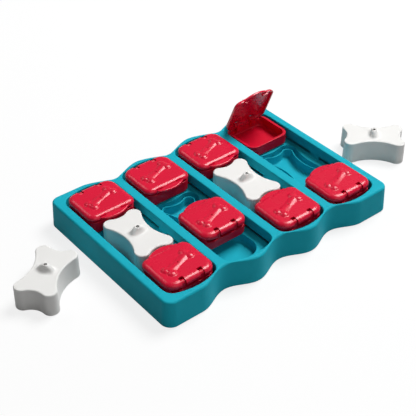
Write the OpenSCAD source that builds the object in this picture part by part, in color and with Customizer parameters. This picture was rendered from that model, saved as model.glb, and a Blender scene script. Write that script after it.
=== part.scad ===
// Dog puzzle feeder: a wavy tray with four channels, eight sliding treat boxes
// with hinged lids, and four bone-shaped treat caps.
// Millimetres. Origin: centre of the tray on the table. +X runs across the
// channels, +Y along them, +Z up. A box, lid or cap is drawn once in its own
// channel frame and then placed.

/* [Tray] */
// Width of a channel between its walls
channel_w = 66.4; // [65.6:0.2:68]
// Width of the rim between two neighbouring channels
channel_web = 11.6; // [10.2:0.1:18]
// Length of a channel along its centre line
channel_len = 210.6; // [208:0.2:216]
// Corner radius of a channel in plan
channel_corner_r = 13; // [11:0.5:15]
// Radius of the shallow arc that closes each end of a channel
channel_end_r = 75; // [65:1:110]
// Depth of a channel floor below the tray's rim
channel_depth = 16.9; // [16:0.1:18]
// Height of the tray's rim above the table
tray_h = 34; // [33:0.5:40]
// Thickness of the moulded shell
wall = 2.2; // [1.8:0.1:2.4]
// Rim width beyond the outer channels, measured at the base
end_rim = 12.3; // [10:0.1:16]
// Rim width beyond the end of a channel, measured at the base
side_rim = 8.3; // [7.6:0.1:12]
// Depth of the wave along the long sides, crest to hollow
wave_depth = 12.3; // [8:0.1:12.6]
// Inward lean of the outer wall from base to rim
tray_draft = 1.67; // [0.5:0.01:2]
// Plan radius of the tray's four corners
tray_corner_r = 12.5; // [8:0.5:18]
// Rounding of the outer top edge
tray_lip_r = 3; // [1.5:0.5:4]
// Rounding of the channel lips
channel_lip_r = 1.4; // [0.6:0.2:2]
// Gap below the tray's skirt
skirt_gap = 0.9; // [0.5:0.1:2]

/* [Treat wells] */
// Width of a well under a box
end_well_w = 48.4; // [40:0.2:50]
// Length of a well under a box
end_well_len = 44; // [36:0.5:46]
// Corner radius of a well under a box
end_well_r = 17; // [10:0.5:18]
// Depth of a well below the channel floor
end_well_depth = 11.1; // [7:0.1:12]
// Distance of a well's centre from the middle of the box above it, towards the tray's middle
end_well_shift = 2.15; // [0:0.05:3]
// Depth of the well inside a bone seat, below the channel floor
bone_well_depth = 11.5; // [8:0.1:12]
// Width of the rib that a bone cap sits over
seat_rib_t = 1.4; // [1.2:0.1:2]
// Gap between a bone cap's skirt and the rib
seat_fit = 0.4; // [0.35:0.05:0.8]
// Extra room around a bone cap at its lobes
seat_margin = 4.6; // [3:0.1:4.6]
// Extra room beside a bone cap at its waist
seat_waist_margin = 6.4; // [4.6:0.1:6.6]

/* [Slot tracks] */
// Height of the slot in a channel wall
slot_h = 4.6; // [4.4:0.1:6]
// Half length of the closed web between the slots
slot_web = 7; // [6:0.5:9]
// Running gap of a slider in its track
slide_gap = 0.3; // [0.2:0.05:0.4]

/* [Treat boxes] */
// Gap between a box and the channel wall on each side
box_side_gap = 2.2; // [1:0.1:2.4]
// Length of a box along its channel
box_len = 54.7; // [54:0.1:56]
// Height of a box
box_h = 15.1; // [14:0.1:16]
// Gap between a box at home and the end of its channel
box_home_gap = 7.3; // [7:0.1:9]
// Corner radius of a box
box_corner_r = 12; // [10:0.5:13]
// Thickness of a box's walls
box_wall = 2.4; // [2:0.1:3]
// Width of a box's thickened rim
box_rim_w = 3.8; // [3.2:0.1:4.4]
// Height of the thickened rim
box_rim_h = 3; // [2:0.5:4]
// Thickness of a box's floor
box_floor = 2; // [1.6:0.1:3]
// Rounding between a box's floor and its sides
box_edge_r = 3; // [2:0.5:3.5]
// Height of the guide tabs
tab_h = 3.8; // [3:0.1:3.8]
// Reach of a guide tab into the slot, past the channel wall's face
tab_reach = 4; // [3:0.1:4.2]
// Distance of the tab from the box's inner end
tab_inset_inner = 3.1; // [2:0.1:6]
// Distance of the tab from the box's outer end
tab_inset_outer = 6.3; // [6:0.1:10]
// How far the shifted box stands from its home place
shifted_box = 39.1; // [30:0.1:39.1]

/* [Lid hinges] */
// Radius of a lid's hinge pins
pin_r = 1.6; // [1.2:0.05:1.7]
// Running clearance of a pin in its bore
pin_clearance = 0.06; // [0.03:0.01:0.1]
// Outer radius of a hinge knuckle
knuckle_r = 3.2; // [3:0.1:3.4]
// Width of a hinge knuckle
knuckle_w = 5.2; // [4:0.1:7]
// Distance of a knuckle from the lid's centre line
knuckle_x = 12.1; // [9:0.1:14]
// Gap between a knuckle and the lid's notch on each side
knuckle_gap = 0.3; // [0.2:0.05:0.5]
// Distance of the hinge axis from a box's outer end
hinge_inset = 4; // [3.8:0.1:4.4]
// Height of the hinge axis above a box's rim
hinge_rise = 2.9; // [2.8:0.1:3.4]
// Opening angle of the lid that stands open
open_lid_angle = 67; // [0:1:100]

/* [Lids] */
// Width of a lid
lid_w = 60.8; // [58:0.2:63]
// Length of a lid's main plate
lid_len = 53.5; // [52.5:0.1:55]
// Height of a lid's top face above the box's rim
lid_rise = 7.5; // [7.2:0.1:9]
// Gap between a lid's lower edge and the box's rim at the hinge
lid_gap_hinge = 1; // [0.8:0.1:1.4]
// Gap between a lid's lower edge and the box's rim at the free end
lid_gap_free = 2.4; // [1:0.1:2.8]
// Thickness of a lid
lid_wall = 2; // [1.6:0.1:2.4]
// Rounding of a lid's top edge
lid_edge_r = 4.6; // [3:0.1:4.6]
// Plan radius of a lid's corners at the hinge
lid_corner_r = 12; // [10:0.5:14]
// Plan radius of a lid's corners at the free end
lid_front_r = 9; // [6:0.5:12]
// Radius of the finger lip
lip_arc_r = 31.4; // [28:0.2:40]
// Reach of the finger lip beyond the lid's main plate
lip_reach = 7; // [4:0.1:7]
// Thickness of the finger lip
lip_t = 2.8; // [2:0.1:3.2]
// Length of the raised bone on a lid
relief_len = 46; // [38:1:46]
// Width of the raised bone across its lobes
relief_w = 21.4; // [18:0.2:24]
// Width of the raised bone's shank
relief_shank = 12; // [8:0.5:13]
// Height of the raised bone
relief_h = 1.6; // [0.8:0.1:2]
// Turn of the raised bone on its lid
relief_turn = 20; // [0:1:30]
// Diameter of the scent hole in a lid
scent_d = 1.8; // [1:0.1:3]

/* [Bone caps] */
// Width of a cap across its lobes
bone_w = 48.8; // [46:0.2:49]
// Gap between a seated cap's lobes and the boxes at home
bone_gap = 5.1; // [5:0.1:7]
// Width of a cap at its waist
bone_waist = 33.4; // [30:0.2:35]
// Depth of the hollow in each end of a cap
bone_notch_depth = 4.4; // [3:0.1:6]
// Radius of a cap's lobes
bone_lobe_r = 9.2; // [8:0.1:10]
// Height of a cap without its grip
bone_h = 27.5; // [26:0.1:29]
// Thickness of a cap's skirt
bone_wall = 1.6; // [1.2:0.1:1.8]
// Thickness of a cap's top
bone_top = 2; // [1.5:0.1:3]
// Inward lean of a cap's skirt
bone_draft = 0.5; // [0.2:0.1:0.8]
// Rounding of a cap's top edge
bone_edge_r = 1.6; // [0.8:0.1:2]
// Length of a cap's grip at its foot
grip_len = 17; // [14:0.5:20]
// Thickness of a cap's grip
grip_t = 6; // [5:0.5:7]
// Height of a cap's grip
grip_h = 8.5; // [6:0.5:9]
// Diameter of the scent hole in the grip
grip_hole_d = 3.4; // [2:0.1:3.6]

/* [Feet] */
// Radius of a rubber foot under a corner well
foot_r = 8; // [5:0.5:10]
// Radius of the rubber foot under the middle web
middle_foot_r = 6; // [4:0.5:6]
// Height of a rubber foot
foot_h = 1.7; // [1.3:0.1:2.4]

/* [Loose caps] */
// Distance of the left loose cap's middle from the tray's left end
loose_left_away = 60.5; // [50:0.5:90]
// How far the left loose cap lies behind the tray's middle
loose_left_behind = 18; // [-60:1:60]
// Turn of the left loose cap
loose_left_turn = -54; // [-90:0.5:90]
// Distance of the right loose cap's middle from the tray's right end
loose_right_away = 69.5; // [50:0.5:90]
// How far the right loose cap lies in front of the tray's middle
loose_right_ahead = 21; // [-60:1:60]
// Turn of the right loose cap
loose_right_turn = 48.5; // [-90:0.5:90]

/* [Hidden] */
$fn = 48;
eps = 0.01;
cut = 1;              // how far a cutter runs past the face it opens
channels = 4;
// tray
channel_pitch = channel_w + channel_web;
floor_z = tray_h - channel_depth;
base_x = (channels - 1) / 2 * channel_pitch + channel_w / 2 + end_rim;
base_y = channel_len / 2 + side_rim;
skirt_lean = tray_draft * (tray_h - tray_lip_r - skirt_gap) / (tray_h - skirt_gap);
plate_inset = skirt_lean + tray_lip_r;
// slider, in its channel's frame: u is the distance from the tray's middle
box_w = channel_w - 2 * box_side_gap;
box_outer = channel_len / 2 - box_home_gap;
box_inner = box_outer - box_len;
box_z = floor_z + slide_gap;
box_top = box_z + box_h;
tab_inner = box_inner + tab_inset_inner;
tab_outer = box_outer - tab_inset_outer;
tab_half = channel_w / 2 + tab_reach;
slot_end = tab_outer + slide_gap;
end_well_at = (box_inner + box_outer) / 2 - end_well_shift;
// hinge and lid
hinge_u = box_outer - hinge_inset;
hinge_z = box_top + hinge_rise;
bore_r = pin_r + pin_clearance;
notch_w = knuckle_w + 2 * knuckle_gap;
notch_gap = 0.5;
lid_outer = box_outer;
lid_inner = lid_outer - lid_len;
lid_top = box_top + lid_rise;
lid_low_hinge = box_top + lid_gap_hinge;
lid_low_free = box_top + lid_gap_free;
lid_shoulder = lid_top - lid_edge_r;
ear_t = 2;
ear_r = pin_r + 1.2;
relief_z = 1;         // how far the relief's base sinks into the lid plate
stop_gap = 0.3;
stop_w = 8;
hinge_swing = norm([hinge_inset, hinge_rise - lid_gap_hinge]);
hinge_clear = 1.6;
// half width of the lowered stretch of a box's outer wall: where the lid's
// corner no longer reaches past the hinge axis
relief_half = lid_w / 2 - lid_corner_r - 0.5
    + sqrt(pow(lid_corner_r, 2) - pow(lid_corner_r - hinge_inset, 2));
// bone caps and their seats
bone_len = 2 * (box_inner - bone_gap);
bone_notch = bone_len - 2 * bone_notch_depth;
rib_outer = bone_wall + seat_fit;
rib_inner = rib_outer + seat_rib_t;
bone_seat_z = tray_h + 2 - bone_h;
groove_z = bone_seat_z - slide_gap;
post_r = min(middle_foot_r + 0.5, slot_web - 0.5);

function on_arc(c, r, a) = c + r * [cos(a), sin(a)];
function arc_pts(c, r, a0, a1, n) = [for (k = [0:n]) on_arc(c, r, a0 + (a1 - a0) * k / n)];
function inner_arc(c, r, a0, a1, n) = [for (k = [1:n - 1]) on_arc(c, r, a0 + (a1 - a0) * k / n)];
function lift(pts, z) = [for (p = pts) [p[0], p[1], z]];

// Half width of the tray's wavy outline at x
function wave_y(x) = abs(x) >= channel_pitch * 1.5
    ? base_y
    : base_y - wave_depth / 2 * (1 - cos(360 * (abs(x) - channel_pitch / 2) / channel_pitch));

// Tray outline, inset by d, counter-clockwise
function tray_pts(d, n = 56) =
    let (x0 = base_x - tray_corner_r, y0 = base_y - tray_corner_r, r = max(tray_corner_r - d, 0.5),
         xs = [for (k = [1:n - 1]) x0 - 2 * x0 * k / n])
    concat(
        arc_pts([x0, y0], r, 0, 90, 6),
        [for (x = xs) [x, wave_y(x) - d]],
        arc_pts([-x0, y0], r, 90, 180, 6),
        arc_pts([-x0, -y0], r, 180, 270, 6),
        [for (x = xs) [-x, -wave_y(x) + d]],
        arc_pts([x0, -y0], r, 270, 360, 6));

// Channel outline, inset by d
function channel_pts(d) =
    let (cx = channel_w / 2 - channel_corner_r, v = channel_len / 2 - channel_end_r,
         cy = v + sqrt(pow(channel_end_r - channel_corner_r, 2) - cx * cx),
         a = atan2(cy - v, cx), r = channel_corner_r - d, e = channel_end_r - d)
    concat(
        arc_pts([cx, cy], r, 0, a, 6),
        inner_arc([0, v], e, a, 180 - a, 8),
        arc_pts([-cx, cy], r, 180 - a, 180, 6),
        arc_pts([-cx, -cy], r, 180, 180 + a, 6),
        inner_arc([0, -v], e, 180 + a, 360 - a, 8),
        arc_pts([cx, -cy], r, 360 - a, 360, 6));

// Bone outline from its half sizes, inset by d: four lobes joined by hollow arcs
function bone_pts(hw, hl, waist, notch, lobe, d) =
    let (cx = hw - lobe, cy = hl - lobe,
         rs = (pow(waist - cx, 2) + cy * cy - lobe * lobe) / (2 * (lobe - waist + cx)),
         re = (pow(notch - cy, 2) + cx * cx - lobe * lobe) / (2 * (lobe - notch + cy)),
         sx = waist + rs, ey = notch + re,
         b = atan2(cy, sx - cx), c = atan2(cx, ey - cy), r = lobe - d)
    concat(
        inner_arc([sx, 0], rs + d, 180 + b, 180 - b, 6),
        arc_pts([cx, cy], r, -b, 90 + c, 7),
        inner_arc([0, ey], re + d, 270 + c, 270 - c, 4),
        arc_pts([-cx, cy], r, 90 - c, 180 + b, 7),
        inner_arc([-sx, 0], rs + d, b, -b, 6),
        arc_pts([-cx, -cy], r, 180 - b, 270 + c, 7),
        inner_arc([0, -ey], re + d, 90 + c, 90 - c, 4),
        arc_pts([cx, -cy], r, 270 - c, 360 + b, 7));

function cap_pts(d) =
    bone_pts(bone_w / 2, bone_len / 2, bone_waist / 2, bone_notch / 2, bone_lobe_r, d);

// Outline of the recess around a bone cap
function recess_pts(d) = bone_pts(bone_w / 2 + seat_margin, bone_len / 2 + seat_margin,
    bone_waist / 2 + seat_waist_margin, bone_notch / 2 + seat_waist_margin, bone_lobe_r + 2, d);

// Lid outline, inset by d
function lid_pts(d) =
    let (f = [lid_w / 2 - lid_front_r, lid_inner + lid_front_r],
         h = [lid_w / 2 - lid_corner_r, lid_outer - lid_corner_r])
    concat(
        arc_pts([f[0], f[1]], lid_front_r - d, 270, 360, 6),
        arc_pts([h[0], h[1]], lid_corner_r - d, 0, 90, 7),
        arc_pts([-h[0], h[1]], lid_corner_r - d, 90, 180, 7),
        arc_pts([-f[0], f[1]], lid_front_r - d, 180, 270, 6));

// Height of a lid's lower edge at u
function lid_low(u) = lid_low_hinge + (lid_low_free - lid_low_hinge) * (lid_outer - u) / lid_len;

// Solid through a stack of rings with equal numbers of points, lowest first
module loft(rings) {
    n = len(rings[0]);
    last = (len(rings) - 1) * n;
    polyhedron(
        points = [for (r = rings) each r],
        faces = concat(
            [[for (i = [0:n - 1]) i]],
            [for (k = [0:len(rings) - 2], i = [0:n - 1], t = [0, 1])
                let (a = k * n + i, b = k * n + (i + 1) % n)
                t == 0 ? [a, a + n, b + n] : [a, b + n, b]],
            [[for (i = [n - 1:-1:0]) last + i]]),
        convexity = 10);
}

// Solid tube through a closed cycle of rings, listed up the outside and down the inside
module tube(rings) {
    n = len(rings[0]);
    m = len(rings);
    polyhedron(
        points = [for (r = rings) each r],
        faces = [for (k = [0:m - 1], i = [0:n - 1], t = [0, 1])
            let (a = k * n + i, b = k * n + (i + 1) % n,
                 up = (k + 1) % m * n, c = up + i, d = up + (i + 1) % n)
            t == 0 ? [a, c, d] : [a, d, b]],
        convexity = 10);
}

module prism(pts, z0, z1) {
    translate([0, 0, z0])
        linear_extrude(height = z1 - z0)
            polygon(pts);
}

// Rounded rectangle made of exact arcs
module rounded(w, l, r) {
    square([w - 2 * r, l], center = true);
    square([w, l - 2 * r], center = true);
    for (x = [-1, 1], y = [-1, 1])
        translate([x * (w / 2 - r), y * (l / 2 - r)])
            circle(r = r);
}

module at_channels() {
    for (k = [0:channels - 1])
        translate([(k - (channels - 1) / 2) * channel_pitch, 0, 0])
            children();
}

module at_corner_wells() {
    for (x = [-1, 1], y = [-1, 1])
        translate([x * (channels - 1) / 2 * channel_pitch, y * end_well_at, 0])
            children();
}

// ---- tray ----
// Outer skirt and rounded rim, up to where the flat top begins
module tray_skirt() {
    steps = [30, 60, 90];
    tube(concat(
        [lift(tray_pts(wall), skirt_gap), lift(tray_pts(0), skirt_gap),
         lift(tray_pts(skirt_lean), tray_h - tray_lip_r)],
        [for (a = steps)
            lift(tray_pts(skirt_lean + tray_lip_r * (1 - cos(a))), tray_h - tray_lip_r * (1 - sin(a)))],
        [lift(tray_pts(plate_inset), tray_h - wall), lift(tray_pts(wall + tray_draft), tray_h - wall)]));
}

module tray_plate() {
    prism(tray_pts(plate_inset), tray_h - wall, tray_h);
}

// Closed cups that hang in the hollow tray: channel, wells and bone seat
module channel_cup() {
    prism(channel_pts(-wall), floor_z - wall, tray_h - wall / 2);
    prism(recess_pts(-wall), groove_z - wall, floor_z);
    prism(cap_pts(rib_inner - wall), floor_z - bone_well_depth - wall, floor_z);
    for (y = [-1, 1])
        translate([0, y * end_well_at, floor_z - end_well_depth - wall])
            linear_extrude(height = end_well_depth)
                rounded(end_well_w + 2 * wall, end_well_len + 2 * wall, end_well_r + wall);
}

module channel_space() {
    steps = [0, 30, 60];
    // above the last step the lip runs on straight, up through the rim
    last = channel_lip_r * (1 - sin(60));
    loft(concat(
        [lift(channel_pts(0), floor_z)],
        [for (a = steps)
            lift(channel_pts(-channel_lip_r * (1 - cos(a))), tray_h - channel_lip_r * (1 - sin(a)))],
        [lift(channel_pts(-channel_lip_r * 1.5), tray_h + last)]));
    for (y = [-1, 1])
        translate([0, y * end_well_at, floor_z - end_well_depth])
            linear_extrude(height = end_well_depth + cut)
                rounded(end_well_w, end_well_len, end_well_r);
    difference() {
        prism(recess_pts(0), groove_z, floor_z + cut);
        prism(cap_pts(rib_outer), groove_z - cut, floor_z);
    }
    prism(cap_pts(rib_inner), floor_z - bone_well_depth, floor_z + cut);
}

module track_slots() {
    depth = tab_reach + 0.6;
    for (x = [-1, 1], y = [-1, 1])
        translate([x > 0 ? channel_w / 2 - cut : -channel_w / 2 - depth,
                   y > 0 ? slot_web : -slot_end, floor_z])
            cube([depth + cut, slot_end - slot_web, slot_h]);
}

module foot_bosses() {
    at_corner_wells()
        translate([0, 0, foot_h])
            cylinder(r = foot_r, h = floor_z - end_well_depth - wall / 2 - foot_h);
    translate([0, 0, foot_h])
        cylinder(r = post_r, h = tray_h - wall / 2 - foot_h);
}

module tray() {
    color("#2bb3c9")
        difference() {
            union() {
                union() {
                    tray_plate();
                    tray_skirt();
                }
                foot_bosses();
                at_channels() channel_cup();
            }
            at_channels() channel_space();
            at_channels() track_slots();
        }
}

module rubber_feet() {
    color("#3a3d40") {
        at_corner_wells() cylinder(r = foot_r, h = foot_h);
        cylinder(r = middle_foot_r, h = foot_h);
    }
}

// ---- treat box ----
module box_shell() {
    mid = (box_outer + box_inner) / 2;
    r = box_edge_r;
    bend = r * (1 - sin(45));
    translate([0, mid, box_z]) {
        hull() {
            linear_extrude(height = eps)
                rounded(box_w - 2 * r, box_len - 2 * r, box_corner_r - r, $fn = 32);
            translate([0, 0, bend])
                linear_extrude(height = eps)
                    rounded(box_w - 2 * bend, box_len - 2 * bend, box_corner_r - bend, $fn = 32);
            translate([0, 0, r])
                linear_extrude(height = eps)
                    rounded(box_w, box_len, box_corner_r, $fn = 32);
        }
        translate([0, 0, r])
            linear_extrude(height = box_h - r)
                rounded(box_w, box_len, box_corner_r);
    }
}

module box_space() {
    mid = (box_outer + box_inner) / 2;
    w = 2 * box_wall;
    m = 2 * box_rim_w;
    translate([0, mid, box_z + box_floor])
        linear_extrude(height = box_h - box_floor - box_rim_h)
            rounded(box_w - w, box_len - w, box_corner_r - box_wall);
    translate([0, mid, box_top - box_rim_h - eps])
        linear_extrude(height = box_rim_h + cut)
            rounded(box_w - m, box_len - m, box_corner_r - box_rim_w);
    // room for the turning edge of the lid
    translate([-relief_half, hinge_u - 2, hinge_z - hinge_swing - hinge_clear])
        cube([2 * relief_half, hinge_inset + 2 + cut, hinge_swing + hinge_clear]);
}

module box_tabs() {
    inset = 2.2;
    for (x = [-1, 1])
        translate([x > 0 ? box_w / 2 - inset : -tab_half, tab_inner, box_z])
            cube([tab_half - box_w / 2 + inset, tab_outer - tab_inner, tab_h]);
}

module box_knuckles() {
    foot = hinge_z - hinge_swing - hinge_clear - 3;
    for (x = [-knuckle_x, knuckle_x])
        translate([x - knuckle_w / 2, 0, 0])
            difference() {
                union() {
                    translate([0, hinge_u, hinge_z])
                        rotate([0, 90, 0])
                            cylinder(r = knuckle_r, h = knuckle_w);
                    translate([0, hinge_u - knuckle_r, foot])
                        cube([knuckle_w, 2 * knuckle_r, hinge_z - foot]);
                }
                translate([-cut, hinge_u, hinge_z])
                    rotate([0, 90, 0])
                        cylinder(r = bore_r, h = knuckle_w + 2 * cut);
            }
}

module box() {
    color("#cc1530")
        union() {
            difference() {
                box_shell();
                box_space();
            }
            box_tabs();
            box_knuckles();
        }
}

// ---- lid ----
module lid_outside() {
    steps = [30, 60, 90];
    loft(concat(
        [[for (p = lid_pts(0)) [p[0], p[1], lid_low(p[1])]], lift(lid_pts(0), lid_shoulder)],
        [for (a = steps) lift(lid_pts(lid_edge_r * (1 - cos(a))), lid_shoulder + lid_edge_r * sin(a))]));
}

module lid_inside() {
    r = max(lid_edge_r - lid_wall, 0.8);
    top = lid_top - lid_wall;
    loft([lift(lid_pts(lid_wall), box_top - cut),
          lift(lid_pts(lid_wall), top - r),
          lift(lid_pts(lid_wall + r * (1 - cos(45))), top - r * (1 - sin(45))),
          lift(lid_pts(lid_wall + r), top)]);
}

module finger_lip() {
    z = lid_low_free - 0.2;
    intersection() {
        translate([0, lid_inner - lip_reach + lip_arc_r, z])
            cylinder(r = lip_arc_r, h = lip_t, $fn = 96);
        translate([-lid_w / 2, lid_inner - lip_reach - cut, z - cut])
            cube([lid_w, lip_reach + cut + lid_wall, lip_t + 2 * cut]);
    }
}

module lid_relief() {
    lobe = relief_w / 4 + 0.65;
    along = relief_len / 2 - lobe;
    across = relief_w / 2 - lobe;
    translate([0, (lid_outer + lid_inner) / 2, lid_top - relief_z])
        rotate([0, 0, relief_turn])
            linear_extrude(height = relief_z + relief_h) {
                square([2 * along, relief_shank], center = true);
                for (x = [-along, along], y = [-across, across])
                    translate([x, y])
                        circle(r = lobe);
            }
}

module lid_notches() {
    back = knuckle_r + notch_gap;
    for (x = [-knuckle_x, knuckle_x])
        translate([x - notch_w / 2, hinge_u - back, box_top - cut])
            cube([notch_w, back + hinge_inset + cut, lid_rise + 2 * cut]);
}

module lid_ears() {
    for (x = [-knuckle_x, knuckle_x], s = [-1, 1])
        translate([x + s * (notch_w / 2 + ear_t / 2) - ear_t / 2, hinge_u, hinge_z]) {
            rotate([0, 90, 0])
                cylinder(r = ear_r, h = ear_t);
            translate([0, -ear_r, 0])
                cube([ear_t, 2 * ear_r, lid_top - lid_wall / 2 - hinge_z]);
        }
}

module lid_pins() {
    for (x = [-knuckle_x, knuckle_x])
        translate([x - notch_w / 2 - ear_t / 2, hinge_u, hinge_z])
            rotate([0, 90, 0])
                cylinder(r = pin_r, h = notch_w + ear_t);
}

// Two pads that come down on the box's rim near the free end
module lid_stops() {
    u = box_inner + box_rim_w / 2;
    for (x = [-1, 1])
        translate([x * (knuckle_x + 2) - stop_w / 2, u - 1, box_top + stop_gap])
            cube([stop_w, 2, lid_top - lid_wall / 2 - box_top - stop_gap]);
}

module lid() {
    color("#e01f45")
        union() {
            difference() {
                union() {
                    difference() {
                        lid_outside();
                        lid_inside();
                    }
                    finger_lip();
                    lid_relief();
                    lid_stops();
                }
                lid_notches();
                translate([0, (lid_outer + lid_inner) / 2, box_top])
                    cylinder(d = scent_d, h = lid_rise + relief_h + cut);
            }
            lid_ears();
            lid_pins();
        }
}

// ---- bone cap ----
// Hollow cap, open below, drawn from the inside out like the tray's shell
module cap_shell() {
    steps = [30, 60, 90];
    top = bone_h - bone_edge_r;
    loft(concat(
        [lift(cap_pts(bone_wall + bone_draft), bone_h - bone_top), lift(cap_pts(bone_wall), 0),
         lift(cap_pts(0), 0), lift(cap_pts(bone_draft), top)],
        [for (a = steps)
            lift(cap_pts(bone_draft + bone_edge_r * (1 - cos(a))), top + bone_edge_r * sin(a))]));
}

// Arched grip, cut off inside the cap's top plate
module grip() {
    r = grip_t / 2;
    intersection() {
        hull() {
            for (x = [-1, 1])
                translate([x * (grip_len / 2 - r), 0, bone_h - r / 2])
                    sphere(r = r, $fn = 24);
            translate([0, 0, bone_h + grip_h - r])
                sphere(r = r, $fn = 24);
        }
        translate([-grip_len, -grip_t, bone_h - bone_top / 2])
            cube([2 * grip_len, 2 * grip_t, 2 * grip_h]);
    }
}

module bone_cap() {
    color("#f2f2ee")
        difference() {
            union() {
                cap_shell();
                grip();
            }
            cylinder(d = grip_hole_d, h = bone_h + grip_h + cut);
        }
}

// ---- placing ----
// k: channel 1 to 4; side: 1 back, -1 front; shift: slide towards the middle
module place(k, side, shift = 0) {
    translate([(k - (channels + 1) / 2) * channel_pitch, 0, 0])
        rotate([0, 0, side > 0 ? 0 : 180])
            translate([0, -shift, 0])
                children();
}

module opened(angle) {
    translate([0, hinge_u, hinge_z])
        rotate([-angle, 0, 0])
            translate([0, -hinge_u, -hinge_z])
                children();
}

module loose(x, y, turn) {
    translate([x, y, 0])
        rotate([0, 0, turn])
            bone_cap();
}

tray();
rubber_feet();
place(1, 1) box();  // box_back_1
place(2, 1) box();  // box_back_2
place(3, 1) box();  // box_back_3
place(4, 1) box();  // box_back_4
place(1, -1) box();  // box_front_1
place(2, -1, shifted_box) box();  // box_front_2
place(3, -1) box();  // box_front_3
place(4, -1) box();  // box_front_4
place(1, 1) lid();  // lid_back_1
place(2, 1) lid();  // lid_back_2
place(3, 1) lid();  // lid_back_3
place(4, 1) opened(open_lid_angle) lid();  // lid_back_4
place(1, -1) lid();  // lid_front_1
place(2, -1, shifted_box) lid();  // lid_front_2
place(3, -1) lid();  // lid_front_3
place(4, -1) lid();  // lid_front_4
place(1, 1) translate([0, 0, bone_seat_z]) bone_cap();  // bone_seated_1
place(3, 1) translate([0, 0, bone_seat_z]) bone_cap();  // bone_seated_3
loose(-base_x - loose_left_away, loose_left_behind, loose_left_turn);  // bone_loose_left
loose(base_x + loose_right_away, -loose_right_ahead, loose_right_turn);  // bone_loose_right
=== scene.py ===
# %% [markdown]
# # A dog's puzzle feeder
# A wavy teal tray carries four channels. Eight red treat boxes slide in them, each under its
# own hinged lid, and white bone-shaped caps cover the wells between the boxes.
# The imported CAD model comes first: it is the frame that every piece below is fitted to.

# %% Load the frame
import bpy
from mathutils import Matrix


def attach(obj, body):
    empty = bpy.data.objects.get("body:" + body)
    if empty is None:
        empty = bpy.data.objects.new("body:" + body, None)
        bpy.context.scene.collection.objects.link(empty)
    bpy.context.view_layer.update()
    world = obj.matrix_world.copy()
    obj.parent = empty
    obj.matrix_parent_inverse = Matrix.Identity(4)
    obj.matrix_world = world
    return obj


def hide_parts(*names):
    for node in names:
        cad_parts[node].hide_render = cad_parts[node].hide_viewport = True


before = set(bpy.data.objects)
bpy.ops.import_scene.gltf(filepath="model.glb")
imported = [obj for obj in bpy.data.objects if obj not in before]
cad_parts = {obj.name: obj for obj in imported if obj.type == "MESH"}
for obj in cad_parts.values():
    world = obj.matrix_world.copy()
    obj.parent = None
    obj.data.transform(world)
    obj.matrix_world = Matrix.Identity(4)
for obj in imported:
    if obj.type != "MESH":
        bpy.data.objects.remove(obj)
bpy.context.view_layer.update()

# %% [markdown]
# The whole script works in millimetres, as a toolmaker would, and each mesh is scaled to
# metres once, at its end. An outline is a list of x, y points that runs counter-clockwise.
# The same few named sizes are used in the CAD source, so the pieces meet without fitting.

# %% Sizes and arcs
import math
import bmesh
import bpy
from mathutils import Matrix, Vector
from mathutils.kdtree import KDTree

PITCH = 78.0                          # from one channel to the next
RIM_Z, FLOOR_Z, SKIRT_Z = 34.0, 17.1, 0.9   # tray rim, channel floor, foot of the skirt
BASE_X, BASE_Y = 162.5, 113.6         # half sizes of the tray at the table
CORNER_R, WAVE, DRAFT = 12.5, 12.3, 1.67    # round corners, depth of the wave, lean of the skirt
WALL, RIM_R, LIP_R = 2.2, 3.0, 1.4    # wall, and the rounding of the rim and of a channel's lip
CHANNEL_X, CHANNEL_Y = 33.2, 105.3    # half sizes of a channel
CHANNEL_R, CHANNEL_END_R = 13.0, 75.0       # its corners and its bowed ends
WELL_Y = 68.5                         # from the middle of a channel to its end wells
SLOT_Z, SLOT_START, SLOT_END = 21.7, 7.0, 92.0       # top and both ends of the guide slots


def arc(centre, radius, start, end, steps, inner=False):
    """Points on an arc, angles in degrees; inner leaves out both ends."""
    turns = [start + (end - start) * k / steps for k in range(steps + 1)]
    if inner:
        turns = turns[1:-1]
    return [(centre[0] + radius * math.cos(math.radians(t)),
             centre[1] + radius * math.sin(math.radians(t))) for t in turns]


def round_over(radius, start=0, end=90, step=15):
    """Pairs of (how far in, how far up) along a quarter round."""
    return [(radius * (1 - math.cos(math.radians(a))), radius * math.sin(math.radians(a)))
            for a in range(start, end + 1, step)]


print("A 3 mm quarter round:", [(round(i, 2), round(u, 2)) for i, u in round_over(3, step=30)])

# %% [markdown]
# A moulded wall could be modelled by pushing a box about, but a mould-maker thinks in sections:
# one closed outline at each height. So a bmesh starts from one loop of vertices, and each next
# loop is extruded from it and set on its own outline. Flat areas between loops are filled with
# triangles, which is the one operator that copes with any number of holes.

# %% Loops, extrusions and fills
def start_loop(bm, points, z):
    """A closed loop of new vertices. z is a height or a function of x and y."""
    verts = [bm.verts.new((x, y, z(x, y) if callable(z) else z)) for x, y in points]
    for a, b in zip(verts, verts[1:] + verts[:1]):
        bm.edges.new((a, b))
    return verts


def loop_edges(bm, loop):
    return [bm.edges.get((a, b)) for a, b in zip(loop, loop[1:] + loop[:1])]


def grow(bm, loop, points, z):
    """Extrude a loop once and set the new loop on an outline."""
    made = bmesh.ops.extrude_edge_only(bm, edges=loop_edges(bm, loop))["geom"]
    fresh = {v for v in made if isinstance(v, bmesh.types.BMVert)}
    grown = [next(e.other_vert(v) for e in v.link_edges if e.other_vert(v) in fresh) for v in loop]
    for v, (x, y) in zip(grown, points):
        v.co = (x, y, z(x, y) if callable(z) else z)
    return grown


def grow_all(bm, loop, sections):
    for points, z in sections:
        loop = grow(bm, loop, points, z)
    return loop


def fill(bm, *loops):
    """Fill the flat area inside the first loop and outside the others."""
    edges = [e for loop in loops for e in loop_edges(bm, loop)]
    bmesh.ops.triangle_fill(bm, edges=edges, use_beauty=True, use_dissolve=False)


def circle(radius, count, centre=(0.0, 0.0)):
    return arc(centre, radius, 0, 360 * (count - 1) / count, count - 1)


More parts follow.
